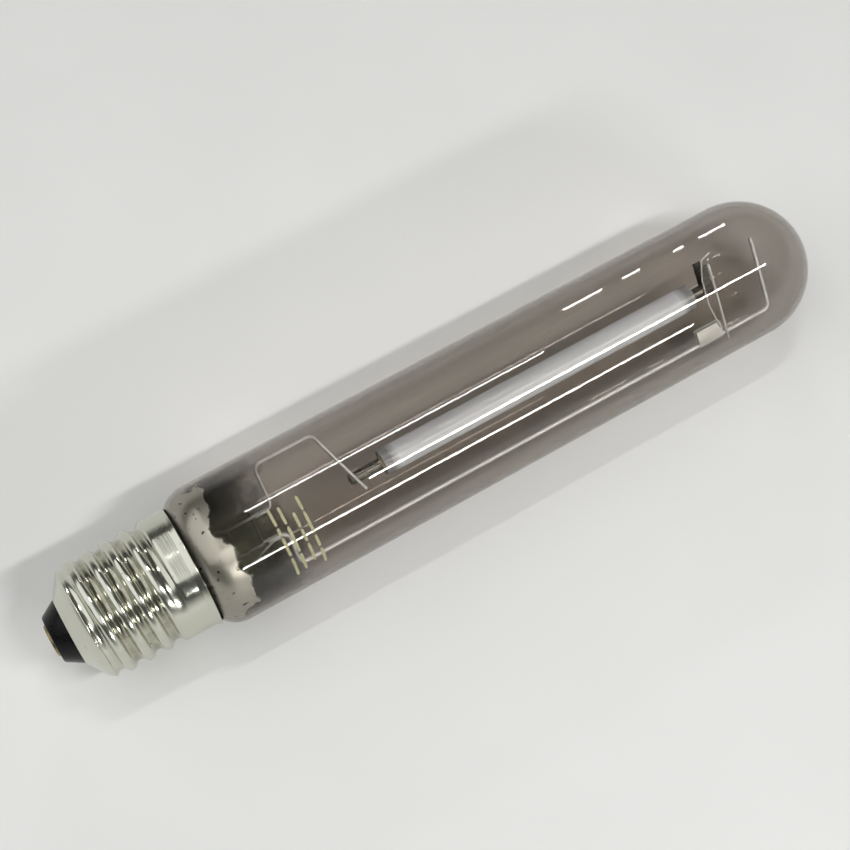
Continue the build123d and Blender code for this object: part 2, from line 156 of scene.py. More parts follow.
# Frame, support and their welded pieces
FRAME_D = 1.5
FRAME_OFFSET = 17.8
FRAME_LIFT = 1.25
FRAME_RISE = 79.0
FRAME_BEND = 2.4
HOOK_X = 259.8
HOOK_END = -9.8
SUPPORT_D = 1.0
SUPPORT_OFFSET = 20.8
SUPPORT_LIFT = 1.0
SUPPORT_RISE = 78.0
SUPPORT_BEND = 2.4
SUPPORT_FALL = 98.4
SUPPORT_TIP = (107.5, 4.0)
CROSS_X = 242.0
CROSS_D = 0.9
CROSS_TAIL = 9.0
CROSS_PAST = 2.6
STRAP_LEAF = 9.0
STRAP_WIDE = 2.8
STRAP_THICK = 0.25
STRAP_END = CROSS_X - CROSS_D / 2 - WELD_GAP
STRIP_LEAF = 5.5
STRIP_WIDE = 9.5
STRIP_THICK = 0.3
STRIP_END = CROSS_X - CROSS_D * 1.5
STRIP_FOLD = FRAME_D / 2 + FIT_GAP
TAIL_D = 0.5
TAIL_BENDS = (4.0, 4.0, 1.2)
TAIL_LIFT = -(FRAME_LIFT + STRIP_FOLD + STRIP_THICK + TAIL_D / 2 + WELD_GAP)
TAIL_X = STRAP_END - STRAP_WIDE

# Getter ring and its stalk
RING_X = 57.0
RING_OFFSET = 15.0
RING_DEEP = 1.3
RING_R = 4.5
STALK_D = 0.6
STALK_BEND = 2.0
STALK_X = RING_X + RING_DEEP + WELD_GAP
STALK_LIFT = RING_OFFSET - RING_R + 0.8
STALK_WELD = PRESS_END + 3.0
STALK_SIDE = FRAME_LIFT + (FRAME_D + STALK_D) / 2 + WELD_GAP

# Leads in the cap
LEAD_TURN = 20.0
LEAD_BEND = 2.0
CENTRE_LEAD_D = 0.8
SIDE_LEAD_D = 0.4
SIDE_LIFT = 0.3
SIDE_TURN = SHOULDER_FOOT - SIDE_LIFT * tan(SHOULDER_SLOPE / 2)
SIDE_END = RIM_X + 0.4

# Lights, each aimed straight across at the lamp's axis: name, place, length, width, glow per area
LIGHTS = (
    ("soft_box", (-805.0, 160.0, 900.0), 1800.0, 2000.0, 1.05),
    ("strip_high", (560.0, -636.0, 1020.0), 518.0, 48.0, 80.0),
    ("strip_front", (412.0, -1068.0, 540.0), 543.0, 48.0, 52.0),
    ("strip_top", (350.0, 258.0, 1171.0), 350.0, 32.0, 46.0),
    ("strip_back_0", (591.0, 1068.0, 540.0), 48.0, 48.0, 48.0),
    ("strip_back_1", (652.0, 1068.0, 540.0), 22.0, 48.0, 48.0),
    ("strip_back_2", (712.0, 1068.0, 540.0), 14.0, 48.0, 48.0),
    ("strip_back_3", (758.0, 1068.0, 540.0), 42.0, 48.0, 48.0),
)

# Camera: where it stands, the way it looks, its right-hand side, and its lens
CAMERA_STAND = (22.5, -185.8, 495.5)
CAMERA_AHEAD = (0.2062, 0.3506, -0.9135)
CAMERA_RIGHT = (0.8620, -0.5069, 0.0)
CAMERA_LENS = 71.6
CAMERA_SENSOR = 36.0


def put(name, points, faces, skin, replaced, sharp):
    """Makes a smooth-shaded mesh piece from points in millimetres, creased where two faces turn by more
    than the sharp angle in degrees. It rides on the lamp, and stands for a solid where one is named."""
    mesh = bpy.data.meshes.new(name)
    mesh.from_pydata((np.asarray(points, float) * MM).tolist(), [], faces)
    mesh.validate()
    mesh.shade_smooth()
    mesh.set_sharp_from_angle(angle=radians(sharp))
    mesh.materials.append(skin)
    piece = bpy.data.objects.new(name, mesh)
    bpy.context.scene.collection.objects.link(piece)
    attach(piece, "root")
    if replaced:
        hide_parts(replaced)


def lattice(rows, columns, loop=False):
    """Quads of a grid that closes across its columns, and along its rows too where it is a loop."""
    i = np.arange(rows if loop else rows - 1)[:, None]
    j = np.arange(columns)[None, :]
    right = (j + 1) % columns
    below = (i + 1) % rows
    corners = (i * columns + j, i * columns + right, below * columns + right, below * columns + j)
    return np.stack(np.broadcast_arrays(*corners), -1).reshape(-1, 4).tolist()


def capped(grid, start, end):
    """A grid of rings, each row a ring, closed by a fan of triangles to a point at each end."""
    rows, columns = grid.shape[:2]
    points = np.concatenate([grid.reshape(-1, 3), [start], [end]])
    j = np.arange(columns)
    right = (j + 1) % columns
    last = (rows - 1) * columns
    first_fan = np.stack([np.full(columns, rows * columns), right, j], -1)
    last_fan = np.stack([np.full(columns, rows * columns + 1), last + j, last + right], -1)
    return points, lattice(rows, columns) + first_fan.tolist() + last_fan.tolist()


def around(x, radius, columns, high=None, power=None):
    """Rings about the lamp axis, (x, r cos a, r sin a), lower in Z and squared off where that is given."""
    angle = np.arange(columns) * (2 * pi / columns)
    c, s = np.cos(angle)[None, :], np.sin(angle)[None, :]
    if power is not None:
        c = np.sign(c) * np.abs(c) ** power[:, None]
        s = np.sign(s) * np.abs(s) ** power[:, None]
    radius = np.asarray(radius, float)
    high = radius if high is None else high
    spots = np.broadcast_arrays(np.asarray(x, float)[:, None], radius[:, None] * c, high[:, None] * s)
    return np.stack(spots, -1)


def turned(name, outline, skin, replaced, columns, sharp=38.0, shift=None):
    """A turned piece: an outline of (x, radius) carried round the axis, out along the outside and back
    along the inside. Ends on the axis are closed by fans, and any other outline is a closed loop."""
    outline = np.asarray(outline, float)
    if outline[0, 1] == 0 and outline[-1, 1] == 0:
        grid = around(outline[1:-1, 0], outline[1:-1, 1], columns)
        points, faces = capped(grid, (outline[0, 0], 0, 0), (outline[-1, 0], 0, 0))
    else:
        grid = around(outline[:, 0], outline[:, 1], columns)
        points, faces = grid.reshape(-1, 3), lattice(len(outline), columns, loop=True)
    if shift is not None:
        points = points + np.asarray(shift, float)
    put(name, points, faces, skin, replaced, sharp)


def bent(points, bends, steps=10):
    """A line through corner points, each corner rounded by a tangent arc of its bend radius."""
    points = np.asarray(points, float)
    line = [points[:1]]
    for before, corner, after, bend in zip(points[:-2], points[1:-1], points[2:], bends):
        a, b = before - corner, after - corner
        a, b = a / np.linalg.norm(a), b / np.linalg.norm(b)
        half = np.arccos(np.clip(a @ b, -1, 1)) / 2
        centre = corner + (a + b) / np.linalg.norm(a + b) * bend / sin(half)
        p, q = corner + a * bend / tan(half) - centre, corner + b * bend / tan(half) - centre
        sweep = pi - 2 * half
        t = np.linspace(0, 1, steps)[:, None]
        line.append(centre + (np.sin((1 - t) * sweep) * p + np.sin(t * sweep) * q) / sin(sweep))
    line.append(points[-1:])
    return np.concatenate(line)


def spread(line, gap):
    """The same line with more points on its long runs, so that none are further apart than the gap."""
    line = np.asarray(line, float)
    along = np.concatenate([[0], np.cumsum(np.linalg.norm(np.diff(line, axis=0), axis=1))])
    marks = np.unique(np.round(np.concatenate([along, np.arange(0, along[-1], gap)]), 6))
    return np.stack([np.interp(marks, along, line[:, k]) for k in range(line.shape[1])], -1)


def arc(centre, radius, first, last, steps):
    """Points on a circle in the plane of (x, radius), from one angle to another in degrees."""
    a = np.radians(np.linspace(first, last, steps))
    return np.stack([centre[0] + radius * np.cos(a), centre[1] + radius * np.sin(a)], -1)


def rolled(points):
    """Turns points from the mount's own plane to where the mount lies in the lamp."""
    c, s = cos(MOUNT_ROLL), sin(MOUNT_ROLL)
    x, y, z = np.asarray(points, float).reshape(-1, 3).T
    return np.stack([x, y * c - z * s, y * s + z * c], -1)


def tube_about(line, radius, columns, reference):
    """Rings of a radius carried along a line, square to it. The reference direction sets their turn."""
    ahead = np.gradient(line, axis=0)
    ahead /= np.linalg.norm(ahead, axis=1)[:, None]
    side = np.cross(ahead, reference)
    side /= np.linalg.norm(side, axis=1)[:, None]
    up = np.cross(ahead, side)
    angle = np.arange(columns) * (2 * pi / columns)
    ring = np.cos(angle)[None, :, None] * side[:, None, :] + np.sin(angle)[None, :, None] * up[:, None, :]
    return line[:, None, :] + np.asarray(radius)[:, None, None] * ring


def wire(name, line, diameter, skin, replaced, columns=20):
    """A round wire on the mount: a circle carried along a line, with cut ends that are slightly rounded."""
    line = spread(line, 2.0)
    bevel = diameter * 0.15
    start = line[0] + (line[1] - line[0]) / np.linalg.norm(line[1] - line[0]) * bevel
    end = line[-1] + (line[-2] - line[-1]) / np.linalg.norm(line[-2] - line[-1]) * bevel
    line = np.concatenate([line[:1], [start], line[1:-1], [end], line[-1:]])
    radius = np.full(len(line), diameter / 2)
    radius[[0, -1]] -= bevel
    points, faces = capped(tube_about(line, radius, columns, (0, 0, 1)), line[0], line[-1])
    put(name, rolled(points), faces, skin, replaced, 50.0)


def hairpin(name, place, fold_r, leaf, width, thick, skin, replaced):
    """A folded strip: a thin rectangle, wide along X, carried along a hairpin in the plane across the lamp.
    The hairpin is a leaf in, a half turn of the fold radius about its place, and a leaf back."""
    a = np.radians(np.linspace(-90, 90, 24))
    turn = np.stack([np.cos(a), np.sin(a)], -1)
    run = np.linspace(0, leaf, 8)[1:]
    low = np.stack([-run[::-1], np.full(len(run), -fold_r)], -1)
    high = np.stack([-run, np.full(len(run), fold_r)], -1)
    line = np.concatenate([low, turn * fold_r, high])
    straight = np.tile((0.0, 1.0), (len(run), 1))
    out = np.concatenate([-straight, turn, straight])
    edge, half = thick * 0.3, thick / 2
    x = np.array([0, edge, width - edge, width, width, width - edge, edge, 0])[::-1] - width
    y = np.array([half - edge, half, half, half - edge, edge - half, -half, -half, edge - half])[::-1]
    flat = line[:, None, :] + out[:, None, :] * y[None, :, None]
    across = np.broadcast_to(x[None, :, None], (len(line), len(x), 1))
    grid = np.concatenate([across, flat], -1) + np.asarray(place, float)
    points, faces = capped(grid, grid[0].mean(0), grid[-1].mean(0))
    put(name, rolled(points), faces, skin, replaced, 35.0)


def colour(code):
    """An sRGB hex value as linear RGBA."""
    value = np.array([int(code[i:i + 2], 16) for i in (1, 3, 5)]) / 255
    linear = np.where(value <= 0.04045, value / 12.92, ((value + 0.055) / 1.055) ** 2.4)
    return (*linear.tolist(), 1.0)


def every(size):
    """Texture scale of a pattern whose features are so many millimetres apart."""
    return 1 / (size * MM)


def node(tree, kind, settings=None, stops=None, **inputs):
    """Adds a node. Settings are its own properties, stops are a ramp's (place, hex colour) pairs, and
    inputs are values or other nodes' outputs. A name that ends in a number, such as Value_1, is a place."""
    made = tree.nodes.new(kind)
    for key, value in (settings or {}).items():
        setattr(made, key, value)
    for count, (place, code) in enumerate(stops or ()):
        bar = made.color_ramp.elements
        element = bar[count] if count < len(bar) else bar.new(place)
        element.position, element.color = place, colour(code)
    for key, value in inputs.items():
        tail = key.rpartition("_")[2]
        socket = made.inputs[int(tail) if tail.isdigit() else key.replace("_", " ")]
        if isinstance(value, bpy.types.NodeSocket):
            tree.links.new(value, socket)
        else:
            socket.default_value = value
    return made.outputs[0]


def new_finish(name):
    """An empty material, and the place in Object coordinates, in metres, that its patterns read."""
    made = bpy.data.materials.new(name)
    made.use_nodes = True
    tree = made.node_tree
    tree.nodes.clear()
    spot = node(tree, "ShaderNodeTexCoord").node.outputs["Object"]
    return made, tree, spot


def wear(made, tree, shader, volume=None):
    """Gives the finish its shader, and its volume where there is one."""
    out = tree.nodes.new("ShaderNodeOutputMaterial")
    tree.links.new(shader, out.inputs["Surface"])
    if volume:
        tree.links.new(volume, out.inputs["Volume"])
    return made


def nickel_plate():
    # Nickel plate on drawn brass sheet: pale silver with a green cast, fine lines round the axis from the
    # rolling, darker, browner patches in the roots of the thread and small dark specks from handling. The
    # real lines are too fine to show, so these are coarser.
    made, tree, spot = new_finish("nickel_plate_rolled")
    split = node(tree, "ShaderNodeSeparateXYZ", Vector=spot).node.outputs
    y_square = node(tree, "ShaderNodeMath", {"operation": "MULTIPLY"}, Value_0=split["Y"],
                    Value_1=split["Y"])
    square = node(tree, "ShaderNodeMath", {"operation": "MULTIPLY_ADD"}, Value_0=split["Z"],
                  Value_1=split["Z"], Value_2=y_square)
    radius = node(tree, "ShaderNodeMath", {"operation": "SQRT"}, Value_0=square)
    drawn = node(tree, "ShaderNodeMapping", Vector=spot, Scale=(1.0, 0.03, 0.03))
    turning = node(tree, "ShaderNodeTexNoise", Vector=drawn, Scale=every(0.3), Detail=2.0)
    bloom = node(tree, "ShaderNodeTexNoise", Vector=spot, Scale=every(5.0), Detail=5.0, Roughness=0.62)
    speck = node(tree, "ShaderNodeTexNoise", Vector=spot, Scale=every(1.3), Detail=1.0)
    # Darker, browner in patches where the radius is small, in the roots of the thread.
    root = node(tree, "ShaderNodeMapRange", Value=radius, From_Min=0.0178, From_Max=0.0192, To_Min=1.0,
                To_Max=0.0)
    threaded = node(tree, "ShaderNodeMapRange", Value=split["X"], From_Min=0.0135, From_Max=0.016)
    low = node(tree, "ShaderNodeMath", {"operation": "MULTIPLY"}, Value_0=root, Value_1=threaded)
    root_darkening = node(tree, "ShaderNodeMath", {"operation": "MULTIPLY"}, Value_0=low, Value_1=bloom)
    dirt = node(tree, "ShaderNodeMapRange", Value=speck, From_Min=0.7, From_Max=0.78, To_Min=0.0,
                To_Max=0.5)
    darkening_and_specks = node(tree, "ShaderNodeMath", {"operation": "ADD"}, Value_0=root_darkening, Value_1=dirt)
    tone = node(tree, "ShaderNodeValToRGB", Fac=darkening_and_specks,
                stops=((0.0, "#CDCEC1"), (0.3, "#BCBCAD"), (0.7, "#87826F")))
    rough = node(tree, "ShaderNodeMapRange", Value=bloom, From_Min=0.3, From_Max=0.75, To_Min=0.1,
                 To_Max=0.24)
    bump = node(tree, "ShaderNodeBump", Strength=0.25, Distance=0.00006, Height=turning)
    return wear(made, tree, node(tree, "ShaderNodeBsdfPrincipled", Base_Color=tone, Metallic=1.0,
                                 Roughness=rough, Normal=bump))


def bare_metal(name, bright, shade, smooth, rough, streak):
    """Drawn or pressed metal: two tones in streaks along X, so many millimetres wide, and the roughness
    follows the streaks. Real draw lines are too fine to show, so the streaks are coarser."""
    made, tree, spot = new_finish(name)
    drawn = node(tree, "ShaderNodeMapping", Vector=spot, Scale=(0.12, 1.0, 1.0))
    grain = node(tree, "ShaderNodeTexNoise", Vector=drawn, Scale=every(streak), Detail=3.0)
    tone = node(tree, "ShaderNodeValToRGB", Fac=grain, stops=((0.3, shade), (0.66, bright)))
    spread_out = node(tree, "ShaderNodeMapRange", Value=grain, From_Min=0.3, From_Max=0.7, To_Min=rough,
                      To_Max=smooth)
    return wear(made, tree, node(tree, "ShaderNodeBsdfPrincipled", Base_Color=tone, Metallic=1.0,
                                 Roughness=spread_out))


def black_glass():
    # Moulded black glass: near-black with a soft gloss, shallow mould ripples and dust, which is coarser
    # than real dust so that it shows. Its IOR is below glass's usual 1.5, matched to how little it mirrors.
    made, tree, spot = new_finish("black_moulded_glass")
    ripple = node(tree, "ShaderNodeTexNoise", Vector=spot, Scale=every(3.5), Detail=3.0)
    dust = node(tree, "ShaderNodeTexNoise", Vector=spot, Scale=every(0.7), Detail=2.0)
    tone = node(tree, "ShaderNodeValToRGB", Fac=dust, stops=((0.4, "#030304"), (0.75, "#0B0B0C")))
    rough = node(tree, "ShaderNodeMapRange", Value=dust, From_Min=0.3, From_Max=0.8, To_Min=0.22,
                 To_Max=0.42)
    bump = node(tree, "ShaderNodeBump", Strength=0.3, Distance=0.0002, Height=ripple)
    return wear(made, tree, node(tree, "ShaderNodeBsdfPrincipled", Base_Color=tone, Roughness=rough,
                                 IOR=1.3, Normal=bump))


def clear_glass(name, tint, density, passed, wave_size, wave_height):
    """Clear hard glass: sharp and smooth, faintly wavy from the fire, tinted with depth so that its edges
    are dark, and open to the lamps so that what is inside is lit. The bulb's tint is deeper than real
    clear glass has, so that the pale pieces inside stand out on a pale floor."""
    made, tree, spot = new_finish(name)
    wave = node(tree, "ShaderNodeTexNoise", Vector=spot, Scale=every(wave_size), Detail=1.0)
    bump = node(tree, "ShaderNodeBump", Strength=wave_height, Distance=0.0006, Height=wave)
    glass = node(tree, "ShaderNodeBsdfPrincipled", Base_Color=(1, 1, 1, 1), Roughness=0.0, IOR=1.47,
                 Transmission_Weight=1.0, Normal=bump)
    lamp_light = node(tree, "ShaderNodeBsdfTransparent", Color=colour(passed))
    shadow = node(tree, "ShaderNodeLightPath").node.outputs["Is Shadow Ray"]
    both = node(tree, "ShaderNodeMixShader", Fac=shadow, Shader_1=glass, Shader_2=lamp_light)
    depth = node(tree, "ShaderNodeVolumeAbsorption", Color=colour(tint), Density=density)
    return wear(made, tree, both, depth)


def alumina():
    # Sintered alumina: milky white with a cool cast, light from within, greyer over the end plugs, where
    # the grey is painted shade of the niobium and electrodes inside, with a sintered gloss. Its mottle is
    # coarser than the real grain, which is too fine to show.
    made, tree, spot = new_finish("sintered_alumina")
    along = node(tree, "ShaderNodeSeparateXYZ", Vector=spot)
    middle = ARC_BOTH / 2 * MM
    off = node(tree, "ShaderNodeMath", {"operation": "SUBTRACT"}, Value_0=along, Value_1=middle)
    far = node(tree, "ShaderNodeMath", {"operation": "ABSOLUTE"}, Value_0=off)
    mottle = node(tree, "ShaderNodeTexNoise", Vector=spot, Scale=every(1.6), Detail=4.0)
    ragged = node(tree, "ShaderNodeMath", {"operation": "MULTIPLY_ADD"}, Value_0=mottle, Value_1=0.002,
                  Value_2=far)
    # Painted shade: the tone turns grey over the last few millimetres at each end, over the end plugs.
    end = node(tree, "ShaderNodeMapRange", Value=ragged, From_Min=0.0545, From_Max=0.0575)
    tone = node(tree, "ShaderNodeValToRGB", Fac=end, stops=((0.0, "#E8F2FD"), (1.0, "#95999D")))
    rough = node(tree, "ShaderNodeMapRange", Value=mottle, From_Min=0.3, From_Max=0.7, To_Min=0.13,
                 To_Max=0.2)
    return wear(made, tree, node(
        tree, "ShaderNodeBsdfPrincipled", Base_Color=tone, Roughness=rough, IOR=1.76, Subsurface_Weight=0.4,
        Subsurface_Radius=(0.004, 0.004, 0.004), Subsurface_Scale=1.0,
    ))


def getter_mirror():
    # Flashed getter metal inside the neck: a bright mirror by the cap that ends in ragged islands, then a
    # brown-black smoke that thins out towards the bulb, with dark flecks by the cap.
    made, tree, spot = new_finish("getter_mirror_film")
    split = node(tree, "ShaderNodeSeparateXYZ", Vector=spot).node.outputs
    patch = node(tree, "ShaderNodeTexNoise", Vector=spot, Scale=every(9.0), Detail=3.0, Roughness=0.5)
    fleck = node(tree, "ShaderNodeTexNoise", Vector=spot, Scale=every(1.8), Detail=2.0)
    reach = node(tree, "ShaderNodeMath", {"operation": "MULTIPLY_ADD"}, Value_0=patch, Value_1=-0.022,
                 Value_2=split["X"])
    silver = node(tree, "ShaderNodeMapRange", Value=reach, From_Min=0.0468, From_Max=0.0482, To_Min=1.0,
                  To_Max=0.0)
    smoke = node(tree, "ShaderNodeMapRange", Value=reach, From_Min=0.047, From_Max=0.068, To_Min=0.68,
                 To_Max=0.0)
    bare = node(tree, "ShaderNodeMath", {"operation": "MULTIPLY_ADD"}, Value_0=split["Y"], Value_1=-0.55,
                Value_2=split["X"])
    start = node(tree, "ShaderNodeMapRange", Value=bare, From_Min=0.0415, From_Max=0.0425)
    tone = node(tree, "ShaderNodeValToRGB", Fac=silver,
                stops=((0.0, "#3F4036"), (0.5, "#7A7B70"), (1.0, "#EEF1E8")))
    dark = node(tree, "ShaderNodeMapRange", Value=fleck, From_Min=0.66, From_Max=0.7, To_Min=1.0,
                To_Max=0.08)
    mixed = node(tree, "ShaderNodeMix", {"data_type": "RGBA"}, Factor_0=dark, A_6=colour("#0C0B0A"),
                 B_7=tone)
    spotted = mixed.node.outputs[2]
    solid = node(tree, "ShaderNodeMath", {"operation": "MAXIMUM"}, Value_0=silver, Value_1=smoke)
    cover = node(tree, "ShaderNodeMath", {"operation": "MULTIPLY"}, Value_0=solid, Value_1=start)
    bump = node(tree, "ShaderNodeBump", Strength=0.35, Distance=0.0008, Height=patch)
    return wear(made, tree, node(tree, "ShaderNodeBsdfPrincipled", Base_Color=spotted, Metallic=1.0,
                                 Roughness=0.34, Alpha=cover, Normal=bump))


def dull_body(name, light, dark, grit_size, smooth, rough):
    """A matt body in two tones of grain, so many millimetres wide, and rougher in the darker one. The
    grain is coarser than the real one, so that it shows."""
    made, tree, spot = new_finish(name)
    grit = node(tree, "ShaderNodeTexNoise", Vector=spot, Scale=every(grit_size), Detail=4.0)
    tone = node(tree, "ShaderNodeValToRGB", Fac=grit, stops=((0.3, dark), (0.7, light)))
    spread_out = node(tree, "ShaderNodeMapRange", Value=grit, From_Min=0.3, From_Max=0.7, To_Min=rough,
                      To_Max=smooth)
    bump = node(tree, "ShaderNodeBump", Strength=0.3, Distance=0.0001, Height=grit)
    return wear(made, tree, node(tree, "ShaderNodeBsdfPrincipled", Base_Color=tone, Roughness=spread_out,
                                 Normal=bump))


plate = nickel_plate()
foot_glass = black_glass()
bulb_glass = clear_glass("clear_blown_glass", "#C3BBB2", 780.0, "#E4E4E3", 38.0, 0.02)
stem_glass = clear_glass("clear_pressed_glass", "#C3C5BA", 90.0, "#E4E4E0", 8.0, 0.12)
ceramic = alumina()
film = getter_mirror()
# Drawn nickel-iron wire: bright with a soft shine and faint draw lines.
bright_wire = bare_metal("drawn_nickel_iron_wire", "#F7FAFB", "#E8ECEE", 0.48, 0.62, 1.1)
# Pressed getter strip: bright steel with a satin, slightly uneven face.
strip_steel = bare_metal("pressed_bright_steel", "#F8FAF8", "#E8EBE8", 0.64, 0.8, 2.0)
# Drawn niobium: a mid grey, darker than the wires and sharper in its shine.
niobium = bare_metal("drawn_niobium", "#9C9A94", "#5F5D58", 0.2, 0.36, 1.1)
# Sintered tungsten: dark grey with a coarse draw.
tungsten = bare_metal("sintered_tungsten", "#5A595A", "#363637", 0.36, 0.5, 1.1)
# Solid amalgam: bright, with a faint uneven grain.
amalgam = bare_metal("solid_amalgam", "#D0D0CF", "#A3A3A2", 0.14, 0.3, 1.4)
# Pressed brass: yellow, lightly dulled and worn on its face.
brass = bare_metal("pressed_worn_brass", "#A69468", "#7A6B4C", 0.3, 0.46, 1.6)
# Bare copper wire, slightly tarnished.
copper = bare_metal("bare_copper", "#B97A58", "#7C4A33", 0.26, 0.44, 1.1)
# Tin solder, frozen dull with a faint grain.
tin = bare_metal("dull_tin_solder", "#B9B9B4", "#83827C", 0.34, 0.52, 0.8)
# Baked basing cement: tan and gritty.
cement = dull_body("baked_basing_cement", "#A58C66", "#7C6646", 1.1, 0.75, 0.92)
# Opaque sealing glass: cream, a little glossy.
frit = dull_body("cream_sealing_glass", "#D8CDB2", "#B8A887", 1.4, 0.3, 0.5)
# Fired enamel ink: pale yellow, thin in places.
ink = dull_body("fired_enamel_ink", "#BDB98F", "#85815E", 0.5, 0.35, 0.55)


def bulb_line(inset):
    """The bulb's outline at a depth inside its outer face: neck, two bends, side and round dome."""
    shift = inset * tan(SHOULDER_SLOPE / 2)
    top = SHOULDER_FOOT + (BULB_R - NECK_R) / tan(SHOULDER_SLOPE)
    radius, centre = BULB_R - inset, (LENGTH - BULB_R, 0.0)
    side = bent([
        (NECK_END, NECK_R - inset), (SHOULDER_FOOT + shift, NECK_R - inset), (top + shift, radius),
        (centre[0], radius),
    ], [NECK_BEND + inset, SHOULDER_BEND - inset], 18)
    dome = arc(centre, radius, 90, 0, 46)[1:]
    dome[-1, 1] = 0.0
    return np.concatenate([spread(side, 6.0), dome])


def stem_piece():
    """Flange, flare, tube and press: rings whose height falls from a circle to the flat press, squared off
    there, and the round bore inside. The pinch follows a smooth step over the press's taper."""
    foot_x = NECK_END - STEM_WALL
    corner = foot_x + (NECK_R - STEM_R) / tan(FLARE_SLOPE)
    flare_r = NECK_R - STEM_WALL * tan(FLARE_SLOPE)
    flare = bent([(NECK_END, flare_r), (corner, STEM_R), (PRESS_START, STEM_R)], [STEM_BEND], 16)
    near, far = PRESS_EDGE
    pressed = np.linspace(PRESS_START, PRESS_END - far, 26)[1:]
    x = np.concatenate([[foot_x, NECK_END - 0.02], flare[:, 0], pressed, [PRESS_END - near, PRESS_END]])
    wide = np.concatenate([
        [NECK_R, NECK_R], flare[:, 1], np.full(len(pressed), STEM_R), [STEM_R - near, STEM_R - far],
    ])
    pinch = np.clip((x - PRESS_START) / PRESS_TAPER, 0, 1)
    pinch = pinch * pinch * (3 - 2 * pinch)
    high = wide + (PRESS_HALF - wide) * pinch
    high[-2:] = (PRESS_HALF - near, PRESS_HALF - far)
    outer = around(x, wide, 96, high, 1.0 - PRESS_SQUARE * pinch)
    bore_x = np.array([PRESS_START - STEM_WALL, PRESS_START - 1.7, corner - 0.66, foot_x])
    bore_r = np.array([5.9, STEM_R - STEM_WALL, STEM_R - STEM_WALL, STEM_MOUTH_R])
    grid = np.concatenate([around(bore_x, bore_r, 96), outer])
    points, faces = capped(grid, (PRESS_START - STEM_WALL, 0, 0), (PRESS_END, 0, 0))
    put("stem_glass", rolled(points), faces, stem_glass, "stem", 40.0)


def film_piece():
    """The flashed film: the bulb's inner outline, a hair inside the glass, as a thin closed shell."""
    line = bulb_line(BULB_WALL + FILM_GAP)
    line = spread(line[(line[:, 0] > FILM_X[0]) & (line[:, 0] < FILM_X[1])], 1.5)
    inner = line - (0.0, FILM_THICK)
    turned("getter_film", np.concatenate([line, inner[::-1]]), film, None, 160, 80.0)


def print_bars():
    """Four rows of plain bars fired on the glass. Each bar is a thin plate bent round the bulb: the angle
    runs along it, and its corners are cut off at both ends."""
    x = np.repeat(PRINT_ROWS, PRINT_COUNTS)
    first, last = np.array(PRINT_FIRST), np.array(PRINT_LAST)
    steps = 14
    t = np.linspace(0, 1, steps)
    wide = np.full(steps, PRINT_HALF)
    wide[[0, -1]] = PRINT_END_HALF
    low, high = BULB_R + PRINT_LIFT[0], BULB_R + PRINT_LIFT[1]
    angle = np.radians(first[:, None] + (last - first)[:, None] * t)[:, :, None]
    across = np.array([-1.0, 1.0, 1.0, -1.0])
    radius = np.array([low, low, high, high])
    spots = (x[:, None, None] + wide[:, None] * across, radius * np.cos(angle), radius * np.sin(angle))
    grid = np.stack(np.broadcast_arrays(*spots), -1)
    end = 4 * (steps - 1)
    bar = np.array(lattice(steps, 4) + [[3, 2, 1, 0], [end, end + 1, end + 2, end + 3]])
    faces = (bar[None] + 4 * steps * np.arange(len(x))[:, None, None]).reshape(-1, 4).tolist()
    put("print_bars", grid.reshape(-1, 3), faces, ink, None, 30.0)


